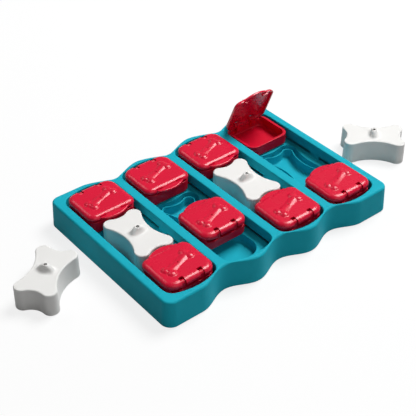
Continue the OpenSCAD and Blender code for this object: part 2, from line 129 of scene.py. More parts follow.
test = bmesh.new()
fill(test, start_loop(test, circle(10, 48), 0), start_loop(test, circle(4, 24), 0))
print("A washer fills", round(sum(f.calc_area() for f in test.faces), 1), "square mm")
test.free()

# %% [markdown]
# Every finished piece goes through the same last steps: doubles merged, normals turned outward,
# millimetres made metres, and smooth shading with the flat faces given the most say, so that a
# moulded edge catches one clean highlight. A light Bevel modifier breaks the edges left sharp, as
# far as the smallest faces beside them allow, and a Weld takes out the slivers that it leaves.

# %% Finishing a piece
def shell_out(bm, faces):
    """Turn an open skin so that its highest face looks up."""
    bmesh.ops.recalc_face_normals(bm, faces=faces)
    top = max(faces, key=lambda f: (f.calc_center_median().z, f.calc_area()))
    if top.normal.z < 0:
        bmesh.ops.reverse_faces(bm, faces=faces)


def as_piece(bm, name, move=None, edge=0.3, turned=True):
    """Make an object from a bmesh in millimetres, in its place, in metres."""
    bmesh.ops.remove_doubles(bm, verts=bm.verts, dist=0.0005)
    if turned:
        bmesh.ops.recalc_face_normals(bm, faces=bm.faces)
    place = Matrix.Scale(0.001, 4) @ (move or Matrix.Identity(4))
    bmesh.ops.transform(bm, matrix=place, verts=bm.verts)
    mesh = bpy.data.meshes.new(name)
    bm.to_mesh(mesh)
    bm.free()
    mesh.shade_smooth()
    piece = bpy.data.objects.new(name, mesh)
    bpy.context.scene.collection.objects.link(piece)
    if edge:
        soft = piece.modifiers.new("Broken edges", "BEVEL")
        soft.width, soft.segments, soft.limit_method = edge * 0.001, 2, "ANGLE"
        soft.angle_limit = math.radians(42)
        soft.miter_outer = "MITER_SHARP"
        piece.modifiers.new("No slivers", "WELD").merge_threshold = 0.000001
    even = piece.modifiers.new("Even shading", "WEIGHTED_NORMAL")
    even.weight, even.keep_sharp = 60, True
    return piece


def hand_over(piece, body, node, finish):
    """Ride on a body, stand for a CAD node and take a finish."""
    piece.data.materials.clear()
    piece.data.materials.append(finish)
    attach(piece, body)
    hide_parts(node)
    print(f"{piece.name}: {len(piece.data.polygons)} faces, rides on {body}")


# %% [markdown]
# The finishes are plain moulded plastics, but no moulded plastic is one flat colour. A real one
# has a faint cloudiness, a satin that changes a little from place to place, and a very fine
# spark-eroded grain. They are procedural, on Object coordinates, so the pattern has a true size.
# The small class below lets shader sums be written as Python: each operator adds a Math node.

# %% Shader sums as Python
class Field:
    """One output socket, with arithmetic that adds Math nodes behind it."""

    def __init__(self, finish, socket):
        self.finish, self.socket = finish, socket

    def sum_with(self, kind, first, second):
        return self.finish.node("ShaderNodeMath", {"operation": kind}, {0: first, 1: second})

    def __add__(self, other):
        return self.sum_with("ADD", self, other)

    def __sub__(self, other):
        return self.sum_with("SUBTRACT", self, other)

    def __rsub__(self, other):
        return self.sum_with("SUBTRACT", other, self)

    def __mul__(self, other):
        return self.sum_with("MULTIPLY", self, other)

    __radd__ = __add__
    __rmul__ = __mul__


class Finish:
    """A material, and the one method that adds any node to it."""

    def __init__(self, name):
        self.material = bpy.data.materials.new(name)
        self.material.use_nodes = True
        self.tree = self.material.node_tree
        self.tree.nodes.clear()

    def node(self, kind, settings=None, inputs=None, output=0):
        made = self.tree.nodes.new(kind)
        for key, value in (settings or {}).items():
            setattr(made, key, value)
        for key, value in (inputs or {}).items():
            if isinstance(value, Field):
                self.tree.links.new(value.socket, made.inputs[key])
            else:
                made.inputs[key].default_value = value
        return Field(self, made.outputs[output])

    def mix(self, amount, first, second):
        return self.node("ShaderNodeMix", {"data_type": "RGBA"},
                         {0: amount, 6: first, 7: second}, 2)

    def surface(self, shader):
        out = self.tree.nodes.new("ShaderNodeOutputMaterial")
        self.tree.links.new(shader.socket, out.inputs["Surface"])
        return self.material


trial = Finish("trial")
print("1 - mask adds a", (1 - trial.node("ShaderNodeValue")).socket.node.bl_idname)
bpy.data.materials.remove(trial.material)

# %% [markdown]
# One recipe serves all the plastics, with a colour, a deeper tone for its clouds, a roughness and
# a grain for each. Clouds are a few centimetres across, the satin changes over about a centimetre,
# and the grain is a third of a millimetre, which is what a spark-eroded mould leaves behind.

# %% The moulded plastics
CLOUDS, SATIN, GRAIN = 26.0, 95.0, 1500.0     # noise scales, per metre


def plastic(name, colour, deep, rough, spread=0.06, grain=0.00002, clouds=0.5, sheen=0.5):
    f = Finish(name)
    place = f.node("ShaderNodeTexCoord", output=3)
    cloud = f.node("ShaderNodeTexNoise", None,
                   {"Vector": place, "Scale": CLOUDS, "Detail": 3.0, "Roughness": 0.55})
    satin = f.node("ShaderNodeTexNoise", None,
                   {"Vector": place, "Scale": SATIN, "Detail": 4.0, "Roughness": 0.6})
    fine = f.node("ShaderNodeTexNoise", None,
                  {"Vector": place, "Scale": GRAIN, "Detail": 2.0, "Roughness": 0.5})
    tone = f.node("ShaderNodeMapRange", {"interpolation_type": "SMOOTHSTEP"},
                  {"Value": cloud * 0.7 + satin * 0.3, "From Min": 0.35, "From Max": 0.68,
                   "To Min": 0.0, "To Max": clouds})
    bump = f.node("ShaderNodeBump", None,
                  {"Strength": 0.35, "Distance": grain, "Height": fine + satin * 0.6})
    shader = f.node("ShaderNodeBsdfPrincipled", None, {
        "Base Color": f.mix(tone, (*colour, 1), (*deep, 1)),
        "Roughness": satin * (2 * spread) + (rough - spread),
        "Specular IOR Level": sheen, "Normal": bump})
    return f.surface(shader)


teal = plastic("tray_plastic", (0.013, 0.45, 0.57), (0.009, 0.41, 0.52), 0.50, sheen=0.07)
lid_red = plastic("lid_plastic", (0.77, 0.003, 0.040), (0.69, 0.002, 0.032), 0.27, sheen=0.45)
box_red = plastic("box_plastic", (0.70, 0.003, 0.030), (0.61, 0.002, 0.023), 0.36, sheen=0.25)
bone_white = plastic("cap_plastic", (0.89, 0.885, 0.865), (0.86, 0.855, 0.83), 0.42,
                     clouds=0.6, sheen=0.3)
foot_rubber = plastic("foot_rubber", (0.035, 0.038, 0.040), (0.022, 0.024, 0.026), 0.75,
                      grain=0.00006, sheen=0.3)
print("Finishes:", [m.name for m in bpy.data.materials])

# %% [markdown]
# The tray's long sides wave in and out, one crest to each channel, and its corners are round.
# The outline takes a different inset at each point where it is given a list, because the rim
# gets thin where a channel's corner comes close to the hollow of the wave.

# %% Outlines of the tray
def wave_y(x):
    if abs(x) >= 1.5 * PITCH:
        return BASE_Y
    return BASE_Y - WAVE / 2 * (1 - math.cos(2 * math.pi * (abs(x) - PITCH / 2) / PITCH))


def tray_outline(inset, along=180, turn=12):
    x0, y0 = BASE_X - CORNER_R, BASE_Y - CORNER_R
    xs = [x0 - 2 * x0 * k / along for k in range(1, along)]
    spots = []   # each point as a base and the direction that an inset takes it
    for sx, sy, start in ((1, 1, 0), (-1, 1, 90), (-1, -1, 180), (1, -1, 270)):
        for x, y in arc((0, 0), 1, start, start + 90, turn):
            spots.append(((sx * x0, sy * y0), (x, y), True))
        if start == 0:
            spots += [((x, wave_y(x)), (0, 1), False) for x in xs]
        if start == 180:
            spots += [((-x, -wave_y(x)), (0, -1), False) for x in xs]
    insets = inset if isinstance(inset, list) else [inset] * len(spots)
    return [(b[0] + d[0] * (CORNER_R - i), b[1] + d[1] * (CORNER_R - i)) if corner
            else (b[0], b[1] - d[1] * i)
            for (b, d, corner), i in zip(spots, insets)]


def channel_outline(inset, turn=9, end=9):
    """A channel's outline; its slots end in the corners, so a vertex stands at each end of one."""
    cx, v = CHANNEL_X - CHANNEL_R, CHANNEL_Y - CHANNEL_END_R
    cy = v + math.sqrt((CHANNEL_END_R - CHANNEL_R) ** 2 - cx ** 2)
    a = math.degrees(math.atan2(cy - v, cx))
    slot = math.degrees(math.asin((SLOT_END - cy) / CHANNEL_R))
    bend = [0] + [slot + (a - slot) * k / turn for k in range(turn + 1)]
    quarter = [((cx, cy), CHANNEL_R, t) for t in bend]
    quarter += [((0, v), CHANNEL_END_R, a + (90 - a) * k / end) for k in range(1, end + 1)]
    straight = (-70, -SLOT_START, 0, SLOT_START, 70)
    spots = quarter + [((-c[0], c[1]), r, 180 - t) for c, r, t in quarter[-2::-1]]
    spots += [(None, -CHANNEL_X, -y) for y in straight]
    spots += [((-c[0], -c[1]), r, 180 + t) for c, r, t in quarter]
    spots += [((c[0], -c[1]), r, 360 - t) for c, r, t in quarter[-2::-1]]
    spots += [(None, CHANNEL_X, y) for y in straight]
    insets = inset if isinstance(inset, list) else [inset] * len(spots)
    points = []
    for (c, r, t), i in zip(spots, insets):
        if c is None:
            points.append((r - i if r > 0 else r + i, t))
        else:
            points.append((c[0] + (r - i) * math.cos(math.radians(t)),
                           c[1] + (r - i) * math.sin(math.radians(t))))
    return points


CHANNELS = [(k - 1.5) * PITCH for k in range(4)]
channel = channel_outline(0)
print("Channel:", len(channel), "points; tray:", len(tray_outline(0)), "points")

# %% [markdown]
# How near is each point of the rim to the nearest channel? A KD tree answers that quickly.
# The rounding of the rim and of the channel lips then shrinks where there is little room.

# %% Room at the rim
def lean_at(z):
    """How far the leaning skirt stands in from its foot at a height."""
    return DRAFT * (z - SKIRT_Z) / (RIM_Z - SKIRT_Z)


LEAN = lean_at(RIM_Z - RIM_R)


def room(points, others):
    tree = KDTree(len(others))
    for i, (x, y) in enumerate(others):
        tree.insert((x, y, 0), i)
    tree.balance()
    return [tree.find((x, y, 0))[2] for x, y in points]


def dense(points, parts=6):
    return [(a[0] + (b[0] - a[0]) * k / parts, a[1] + (b[1] - a[1]) * k / parts)
            for a, b in zip(points, points[1:] + points[:1]) for k in range(parts)]


rim_line = tray_outline(LEAN)
all_channels = [(x + cx, y) for cx in CHANNELS for x, y in dense(channel)]
rim_room = room(rim_line, all_channels)
rim_round = [min(RIM_R, 0.52 * r) for r in rim_room]
under_wall = [DRAFT + min(WALL, 0.42 * r) for r in rim_room]
lip_round, cup_wall = [], []
for cx in CHANNELS:
    near = room([(x + cx, y) for x, y in channel], dense(rim_line))
    lip_round.append([min(LIP_R, 0.36 * r) for r in near])
    cup_wall.append([min(WALL, 0.40 * r) for r in near])
print("Narrowest rim, mm:", round(min(rim_room), 2))

# %% [markdown]
# A bone outline is four round lobes joined by hollow arcs. It is drawn once, from its half sizes,
# and serves the white caps and the seats that hold them.

# %% Bone outlines
def bone_outline(half_w, half_l, waist, notch, lobe, inset, fine=3):
    cx, cy = half_w - lobe, half_l - lobe
    rs = ((waist - cx) ** 2 + cy * cy - lobe * lobe) / (2 * (lobe - waist + cx))
    re = ((notch - cy) ** 2 + cx * cx - lobe * lobe) / (2 * (lobe - notch + cy))
    sx, ey = waist + rs, notch + re
    b, c = math.degrees(math.atan2(cy, sx - cx)), math.degrees(math.atan2(cx, ey - cy))
    r = lobe - inset
    side, end, knob = 6 * fine, 4 * fine, 7 * fine
    return (arc((sx, 0), rs + inset, 180 + b, 180 - b, side, True)
            + arc((cx, cy), r, -b, 90 + c, knob)
            + arc((0, ey), re + inset, 270 + c, 270 - c, end, True)
            + arc((-cx, cy), r, 90 - c, 180 + b, knob)
            + arc((-sx, 0), rs + inset, b, -b, side, True)
            + arc((-cx, -cy), r, 180 - b, 270 + c, knob)
            + arc((0, -ey), re + inset, 90 + c, 90 - c, end, True)
            + arc((cx, -cy), r, 270 - c, 360 + b, knob))


def cap_outline(inset):
    return bone_outline(24.4, 38.2, 16.7, 33.8, 9.2, inset)


def seat_outline(inset):
    return bone_outline(29.0, 42.8, 23.1, 40.2, 11.2, inset)


def rounded_box(width, length, radius, inset, centre=(0.0, 0.0), steps=10):
    x, y, r = width / 2 - radius, length / 2 - radius, radius - inset
    return (arc((centre[0] + x, centre[1] + y), r, 0, 90, steps)
            + arc((centre[0] - x, centre[1] + y), r, 90, 180, steps)
            + arc((centre[0] - x, centre[1] - y), r, 180, 270, steps)
            + arc((centre[0] + x, centre[1] - y), r, 270, 360, steps))


print("Cap outline:", len(cap_outline(0)), "points")

# %% [markdown]
# The tray is one thin moulding: the skin that shows, and the skin underneath that follows it at
# a wall's distance. First the visible skin, from the skirt's foot up over the rim, and from each
# channel's lip down to its floor. The wells, the bone seat, its groove and its rib are let into
# the floor, each with the soft edge that a mould gives.

# %% The tray: outer wall and channels
def let_in(bm, outline, lip, depth_z, foot):
    """A pocket: lip at the floor, wall, and a soft foot. Returns its lip and its floor loops."""
    steps = list(reversed(round_over(lip, 0, 90, 30)))
    top = start_loop(bm, outline(-lip), FLOOR_Z)
    down = [(outline(-i), FLOOR_Z - lip + u) for i, u in steps[1:]]
    down += [(outline(foot - foot * math.cos(math.radians(a))),
              depth_z + foot - foot * math.sin(math.radians(a))) for a in range(0, 91, 30)]
    return top, grow_all(bm, top, down)


def shifted(points, dx):
    return [(x + dx, y) for x, y in points]


def soft_edge(bm, loop, radii, angles, outline):
    """Round a loop at the rim, with a radius of its own at each point."""
    for a in angles:
        s, c = math.sin(math.radians(a)), math.cos(math.radians(a))
        loop = grow(bm, loop, outline([r * (1 - c) for r in radii]), 0.0)
        for v, r in zip(loop, radii):
            v.co.z = RIM_Z - r * (1 - s)
    return loop


tray = bmesh.new()
skirt_in = start_loop(tray, tray_outline(1.9), SKIRT_Z)
skirt = [(0.6, SKIRT_Z), (0.2, 1.0), (0.04, 1.35)] + [(lean_at(z), z) for z in (2.2, 11.0, 21.0)]
loop = grow_all(tray, skirt_in, [(tray_outline(i), z) for i, z in skirt])
rim_top = soft_edge(tray, loop, rim_round, range(0, 91, 15),
                    lambda insets: tray_outline([LEAN + i for i in insets]))

lips, inner_walls = [], []
for cx, lip in zip(CHANNELS, lip_round):
    def bowed(insets, cx=cx):
        return shifted(channel_outline([-i for i in insets]), cx)
    lips.append(start_loop(tray, bowed(lip), RIM_Z))
    loop = soft_edge(tray, lips[-1], lip, (70, 50, 30, 15, 0), bowed)
    straight = shifted(channel_outline(0), cx)
    inner_walls.append(grow_all(tray, loop, [(straight, SLOT_Z), (straight, FLOOR_Z)]))
fill(tray, rim_top, *lips)
print("Rim and channels:", len(tray.faces), "faces")

# %% [markdown]
# The floor of each channel: a well under each box, and in the middle the seat of a bone cap,
# which is a groove around a thin rib, with a deeper well inside the rib.

# %% The tray: floors, wells and bone seats
GROOVE_Z, SEAT_SKIN_Z = 8.2, 5.6      # floors of the groove and of the well inside the rib

for cx, wall_foot in zip(CHANNELS, inner_walls):
    holes = []
    for y in (-WELL_Y, WELL_Y):
        def well(i, cx=cx, y=y):
            return rounded_box(48.4, 44.0, 17.0, i, (cx, y))
        top, bottom = let_in(tray, well, 0.8, 6.0, 2.0)
        holes.append(top)
        fill(tray, bottom)
    top, groove = let_in(tray, lambda i, cx=cx: shifted(seat_outline(i), cx), 0.9, GROOVE_Z, 1.0)
    holes.append(top)
    fill(tray, wall_foot, *holes)
    rib = start_loop(tray, shifted(cap_outline(1.7), cx), GROOVE_Z)
    fill(tray, groove, rib)
    crest = [(2.0, 8.5), (2.0, 16.4), (2.12, 16.85), (2.45, FLOOR_Z), (2.95, FLOOR_Z),
             (3.28, 16.85), (3.4, 16.4), (3.4, 7.6), (3.67, 6.6), (4.4, 5.87), (5.4, SEAT_SKIN_Z)]
    fill(tray, grow_all(tray, rib, [(shifted(cap_outline(i), cx), z) for i, z in crest]))
print("With floors:", len(tray.faces), "faces")

# %% [markdown]
# Underneath, the same moulding shows as hanging cups. Their walls follow the channels at 2.2 mm,
# or less where the rim is thin, and deeper cups hang from them around the wells and the seats.

# %% The tray: underside
UNDER_RIM_Z, UNDER_FLOOR_Z = RIM_Z - WALL, FLOOR_Z - WALL

loop = grow(tray, skirt_in, tray_outline(under_wall), UNDER_RIM_Z)
cups = []
for cx, walls in zip(CHANNELS, cup_wall):
    outline = shifted(channel_outline([-w for w in walls]), cx)
    cup = start_loop(tray, outline, UNDER_RIM_Z)
    cups.append(cup)
    foot = grow_all(tray, cup, [(outline, z) for z in (SLOT_Z, FLOOR_Z, UNDER_FLOOR_Z)])
    holes = []
    for y in (-WELL_Y, WELL_Y):
        well, inner = (rounded_box(52.2, 47.8, 18.9, i, (cx, y)) for i in (0, 1.2))
        top = start_loop(tray, well, UNDER_FLOOR_Z)
        holes.append(top)
        fill(tray, grow_all(tray, top, [(well, 5.0), (inner, 3.8)]))
    seat, core_line = shifted(seat_outline(-1.4), cx), shifted(cap_outline(1.2), cx)
    top = start_loop(tray, seat, UNDER_FLOOR_Z)
    holes.append(top)
    fill(tray, foot, *holes)
    low = grow(tray, top, seat, 6.0)
    core = start_loop(tray, core_line, 6.0)
    fill(tray, low, core)
    fill(tray, grow(tray, core, core_line, 3.4))
fill(tray, loop, *cups)
print("With the underside:", len(tray.faces), "faces")

# %% [markdown]
# A slot in each channel wall lets a box's guide tabs through. It could be cut with a Boolean, but
# both skins already have vertices at its ends, so the faces there are taken out of the two skins
# and bridge_loops joins the openings, which leaves a clean mesh.

# %% The tray: slots for the guide tabs
def slot_rim(bm, inside):
    """Take out the faces of a slot and return the edges around the opening."""
    gone = {f for f in bm.faces if inside(f.calc_center_median())}
    rim = [e for e in {e for f in gone for e in f.edges}
           if sum(g in gone for g in e.link_faces) == 1]
    bmesh.ops.delete(bm, geom=list(gone), context="FACES")
    return rim


slots = 0
for cx in CHANNELS:
    for sx in (-1, 1):
        for sy in (-1, 1):
            def at(low, high):
                return lambda c: (FLOOR_Z < c.z < SLOT_Z and low < sx * (c.x - cx) < high
                                  and SLOT_START < sy * c.y < SLOT_END)
            face, back = slot_rim(tray, at(32.4, 33.9)), slot_rim(tray, at(33.9, 35.8))
            bmesh.ops.bridge_loops(tray, edges=face + back)
            slots += 1
print("Slots cut:", slots)

# %% [markdown]
# Under the corner wells and under the middle web the moulding has round bosses, and a rubber
# foot is stuck to each. A boss is a short cone from one create_ call, with its edge broken.

# %% The tray: bosses, and the rubber feet
def disc(bm, radius, low, high, x, y, edge):
    centre = Matrix.Translation((x, y, (low + high) / 2))
    made = bmesh.ops.create_cone(bm, cap_ends=True, segments=56, radius1=radius, radius2=radius,
                                 depth=high - low, matrix=centre)
    sharp = [e for v in made["verts"] for e in v.link_edges
             if len(e.link_faces) == 2 and e.calc_face_angle() > 1]
    bmesh.ops.bevel(bm, geom=list(set(sharp)), offset=edge, segments=3, profile=0.5,
                    affect="EDGES", material=-1)


FEET_Z = 1.7                          # top of the rubber feet
CORNERS = [(x, y) for x in (CHANNELS[0], CHANNELS[3]) for y in (-WELL_Y, WELL_Y)]
for x, y in CORNERS:
    disc(tray, 8.0, FEET_Z, 4.6, x, y, 0.15)
disc(tray, 5.7, FEET_Z, 32.4, 0, 0, 0.15)
hand_over(as_piece(tray, "tray_moulding", edge=0.2), "tray", "tray", teal)

feet = bmesh.new()
for x, y in CORNERS:
    disc(feet, 8.0, 0.0, FEET_Z, x, y, 0.45)
disc(feet, 6.0, 0.0, FEET_Z, 0, 0, 0.45)
hand_over(as_piece(feet, "round_feet", edge=0), "tray", "rubber_feet", foot_rubber)

# %% [markdown]
# Boxes and lids are drawn once, for the back end of a channel at x = 0, and then placed. A front
# one is turned half round, one box has slid towards the middle, and one lid stands open.

# %% Where boxes and lids go
HINGE_Y, HINGE_Z = 94.0, 35.4         # hinge axis of a back box
HINGE = Vector((0.0, HINGE_Y, HINGE_Z))


def placed(k, side, shift=0.0, opened=0.0):
    swing = (Matrix.Translation(HINGE) @ Matrix.Rotation(math.radians(-opened), 4, "X")
             @ Matrix.Translation(-HINGE))
    turn = Matrix.Rotation(0.0 if side > 0 else math.pi, 4, "Z")
    return (Matrix.Translation((CHANNELS[k - 1], 0, 0)) @ turn
            @ Matrix.Translation((0, -shift, 0)) @ swing)


SHIFTED = {("front", 2): 39.1}        # how far a box has slid towards the middle
OPENED = {("back", 4): 67.0}          # how many degrees a lid stands open
STATIONS = [(row, k, side, SHIFTED.get((row, k), 0.0), OPENED.get((row, k), 0.0))
            for row, side in (("back", 1), ("front", -1)) for k in (1, 2, 3, 4)]
print("Stations:", [f"{row}_{k}" for row, k, *_ in STATIONS])

# %% [markdown]
# A treat box is a small tub with a rounded bottom and a rim that is thicker than its wall. On the
# hinge side the rim steps down, to leave room for the turning edge of the lid. Two knuckles with
# bores carry the lid's pins, and a flat tab on each side runs in the tray's slots.

# %% A treat box
BOX = dict(width=62.0, length=54.7, radius=12.0, centre=(0.0, 70.65), steps=12)
BOX_Z, BOX_TOP_Z, STEP_Z = 17.4, 32.5, 29.4     # underside, rim, and the step by the hinge
STEP_FOOT_Z = 28.4                    # below this the step changes nothing
PIN_R, BORE_R = 1.6, 1.66
KNUCKLE_X, KNUCKLE_R = 12.1, 3.2


def tub_outline(inset):
    return rounded_box(inset=inset, **BOX)


def stepped(z):
    """A rim height, pressed down to the step by the hinge without a fold."""
    low = STEP_FOOT_Z + (z - STEP_FOOT_Z) * (STEP_Z - STEP_FOOT_Z) / (BOX_TOP_Z - STEP_FOOT_Z)
    return lambda x, y: low if abs(x) < 26.8 and y > 92.0 else z


def slab(bm, outline, x0, x1, bore=None):
    """A plate across X from an outline in y and z, with a round bore if one is given."""
    before = set(bm.verts)
    loops = [start_loop(bm, outline, 0.0)]
    if bore:
        loops.append(start_loop(bm, circle(bore[2], 28, bore[:2]), 0.0))
    known = set(bm.faces)
    fill(bm, *loops)
    faces = [f for f in bm.faces if f not in known]
    made = bmesh.ops.extrude_face_region(bm, geom=faces)["geom"]
    far = [v for v in made if isinstance(v, bmesh.types.BMVert)]
    bmesh.ops.translate(bm, vec=(0, 0, x1 - x0), verts=far)
    upright = Matrix(((0, 0, 1, x0), (1, 0, 0, 0), (0, 1, 0, 0), (0, 0, 0, 1)))
    bmesh.ops.transform(bm, matrix=upright, verts=[v for v in bm.verts if v not in before])


def make_box():
    bm = bmesh.new()
    rounding = [(math.sin(math.radians(a)), math.cos(math.radians(a))) for a in range(15, 91, 15)]
    floor = start_loop(bm, tub_outline(3.0), BOX_Z)
    outside = [(tub_outline(3.0 - 3.0 * s), BOX_Z + 3.0 - 3.0 * c) for s, c in rounding]
    rim = [(0.0, 28.6), (0.0, 31.8), (0.09, 32.15), (0.35, 32.41), (0.7, 32.5), (3.1, 32.5),
           (3.45, 32.41), (3.71, 32.15), (3.8, 31.8), (3.8, 29.8), (3.6, 29.4), (2.5, 29.0),
           (2.4, 28.6)]
    inside = [(2.4, 22.4)] + [(2.4 + 3.0 * (1 - c), 22.4 - 3.0 * s) for s, c in rounding]
    top = grow_all(bm, floor, outside + [(tub_outline(i), stepped(z)) for i, z in rim])
    fill(bm, floor)
    fill(bm, grow_all(bm, top, [(tub_outline(i), z) for i, z in inside]))
    tab = [(54.0, BOX_Z), (88.5, BOX_Z), (88.5, 21.2), (54.0, 21.2)]
    knuckle = arc((HINGE_Y, HINGE_Z), KNUCKLE_R, 0, 180, 18) + [(90.8, 26.4), (97.2, 26.4)]
    for s in (-1, 1):
        slab(bm, tab, 28.8 if s > 0 else -37.2, 37.2 if s > 0 else -28.8)
        slab(bm, knuckle, s * KNUCKLE_X - 2.6, s * KNUCKLE_X + 2.6, bore=(HINGE_Y, HINGE_Z, BORE_R))
    return bm


for row, k, side, shift, _ in STATIONS:
    piece = as_piece(make_box(), f"treat_box_{row}_{k}", placed(k, side, shift), edge=0.35)
    hand_over(piece, f"box_{row}_{k}", f"box_{row}_{k}", box_red)

# %% [markdown]
# A lid is a shallow hood: a low wall, a generous round all along its top edge, and a flat top with
# a raised bone. An embossed shape could be cut as an outline and bevelled, but this one has no
# edge at all: its knobs swell out of the lid and the shank is a lower ridge. So the top holds a
# fine flat grid. The skin is modelled alone, one solidify gives it a wall, and only then is the
# outer skin raised by a sum of soft bumps, so that the inside stays flat.

# %% A lid's skin and its raised bone
LID_TOP, CROWN_R = 40.0, 4.6          # a lid's flat top, and the height of the round below it
KNOB, LID_HOLE_R = 17.0, 0.9          # how far the bone's knobs lie out, and the scent hole


def lid_outline(inset, steps=9):
    """Corners of 9 mm at the free end and of 12 mm at the hinge, and 0.7 mm more all round."""
    (fx, fy), (hx, hy), r = (21.4, 53.5), (18.4, 86.0), 0.7 - inset
    return (arc((fx, fy), 9.0 + r, 270, 360, steps)
            + arc((hx, hy), 12.0 + r, 0, 90, steps + 3)
            + arc((-hx, hy), 12.0 + r, 90, 180, steps + 3)
            + arc((-fx, fy), 9.0 + r, 180, 270, steps))


RELIEF = Matrix.Translation((0.0, 71.25, 0.0)) @ Matrix.Rotation(math.radians(20), 4, "Z")


def dome(off, radius, height):
    return height * max(1.0 - (off / radius) ** 2, 0.0) ** 0.85


def raised_bone(along, across, spare=0.0):
    """Height of the raised bone: four knobs, and a shank that dips in the middle."""
    a = abs(along)
    parts = [dome(math.hypot(a - KNOB, across - s * 3.9), 5.3 + spare, 2.1) for s in (-1, 1)]
    if a < KNOB:
        t = a / KNOB
        parts.append(dome(across, 4.7 + t ** 2 + spare, 0.95 + t ** 1.3))
    return sum(p ** 5 for p in parts) ** 0.2


def relief_patch(bm):
    """A fine flat grid with the scent hole in it, cut off a little outside the bone."""
    verts = bmesh.ops.create_grid(bm, x_segments=84, y_segments=40, size=1.0)["verts"]
    bmesh.ops.scale(bm, vec=(24.36, 11.6, 1.0), verts=verts)
    bmesh.ops.translate(bm, vec=(0, 0, LID_TOP), verts=verts)
    hole = min(verts, key=lambda v: v.co.x ** 2 + v.co.y ** 2)
    ring = {v for f in hole.link_faces for v in f.verts} - {hole}
    low = [f for f in {f for v in verts for f in v.link_faces}
           if hole in f.verts or max(raised_bone(v.co.x, v.co.y, 1.3) for v in f.verts) < 0.0001]
    bmesh.ops.delete(bm, geom=low, context="FACES")
    for v in ring:
        reach = math.hypot(v.co.x, v.co.y)
        v.co.x, v.co.y = v.co.x * LID_HOLE_R / reach, v.co.y * LID_HOLE_R / reach
    kept = [v for v in verts if v.is_valid]
    rim = [e for e in {e for v in kept for e in v.link_edges}
           if e.is_boundary and not set(e.verts) <= ring]
    bmesh.ops.transform(bm, matrix=RELIEF, verts=kept)
    return rim


def lid_skin():
    """The hood, open below. Its foot slopes, and its round reaches further in than it rises."""
    bm = bmesh.new()
    edge = start_loop(bm, lid_outline(0), lambda x, y: 33.5 + 1.4 * (98.0 - y) / 53.5)
    crown = round_over(CROWN_R, 0, 90, 10)
    top = grow_all(bm, edge, [(lid_outline(1.42 * i), HINGE_Z + u) for i, u in crown])
    rim = relief_patch(bm)
    bmesh.ops.triangle_fill(bm, edges=loop_edges(bm, top) + rim, use_beauty=True,
                            use_dissolve=False)
    return bm


def raise_relief(bm):
    """Lift the outer skin into the bone. The skin inside stays flat."""
    back = RELIEF.inverted()
    for v in bm.verts:
        if v.co.z > LID_TOP - 0.01:
            spot = back @ v.co
            v.co.z += raised_bone(spot.x, spot.y)


trial = lid_skin()
print("Lid skin:", len(trial.faces), "faces")
trial.free()

# %% [markdown]
# The skin is notched around the two knuckles: bisect_plane draws the cut lines, and the faces
# between them go. After solidify come the parts that are solid in themselves: the arched finger
# lip at the free end, four ears, two hinge pins and two pads that rest on the box's rim.

# %% A lid complete
NOTCH_IN, NOTCH_OUT, NOTCH_Y = 9.2, 15.0, 90.3
PIN_HALF = 3.9                        # half a pin's length, and from its middle to an ear's


def notch(bm):
    sides = (-NOTCH_OUT, -NOTCH_IN, NOTCH_IN, NOTCH_OUT)
    planes = [((x, 0, 0), (1, 0, 0)) for x in sides] + [((0, NOTCH_Y, 0), (0, 1, 0))]
    for point, normal in planes:
        near = [f for f in bm.faces if max(v.co.y for v in f.verts) > 86.0]
        geom = set(near) | {e for f in near for e in f.edges} | {v for f in near for v in f.verts}
        bmesh.ops.bisect_plane(bm, geom=list(geom), plane_co=point, plane_no=normal, dist=0.0001)
    middles = [(f, f.calc_center_median()) for f in bm.faces]
    gone = [f for f, m in middles if NOTCH_IN < abs(m.x) < NOTCH_OUT and m.y > NOTCH_Y]
    bmesh.ops.delete(bm, geom=gone, context="FACES")


def lip_outline(inset):
    centre, back, r = (0.0, 68.9), 46.4, 31.4 - inset
    a = math.degrees(math.asin((centre[1] - back) / r))
    return arc(centre, r, 180 + a, 360 - a, 40)


def make_lid():
    bm = lid_skin()
    notch(bm)
    shell_out(bm, bm.faces[:])
    bmesh.ops.solidify(bm, geom=bm.faces[:], thickness=2.0)
    raise_relief(bm)
    lip = start_loop(bm, lip_outline(0.5), 34.7)
    fill(bm, lip)
    up = [(0.15, 34.85), (0.0, 35.2), (0.0, 36.3), (0.09, 36.75), (0.35, 37.14), (0.74, 37.4),
          (1.2, 37.5)]
    fill(bm, grow_all(bm, lip, [(lip_outline(i), z) for i, z in up]))
    pin = circle(PIN_R, 28, (HINGE_Y, HINGE_Z))
    ear = arc((HINGE_Y, HINGE_Z), 2.8, 180, 360, 16) + [(96.8, 38.4), (91.2, 38.4)]
    pad = [(44.5, 32.8), (46.5, 32.8), (46.5, 39.0), (44.5, 39.0)]
    for s in (-1, 1):
        for e in (-1, 1):
            x = s * KNUCKLE_X + e * PIN_HALF
            slab(bm, ear, x - 1.0, x + 1.0)
        slab(bm, pin, s * KNUCKLE_X - PIN_HALF, s * KNUCKLE_X + PIN_HALF)
        slab(bm, pad, s * 14.1 - 4.0, s * 14.1 + 4.0)
    return bm


for row, k, side, shift, opened in STATIONS:
    piece = as_piece(make_lid(), f"lid_{row}_{k}_hood", placed(k, side, shift, opened), edge=0.3)
    hand_over(piece, f"lid_{row}_{k}", f"lid_{row}_{k}", lid_red)

# %% [markdown]
# A bone cap is a deep hollow cover with a soft top edge. An arched grip stands across its waist
# and carries a scent hole. The loops run from inside the skirt, round its foot, up the side, in
# over the top, up the grip, down through the hole, and out again under the hollow of the grip.

# %% A bone cap
CAP_TOP, SEATED_Z = 27.5, 8.5         # a cap's height without its grip, and a seated one's foot
OBLONG = 2.4                          # exponent of the grip's section, where 2 is an ellipse


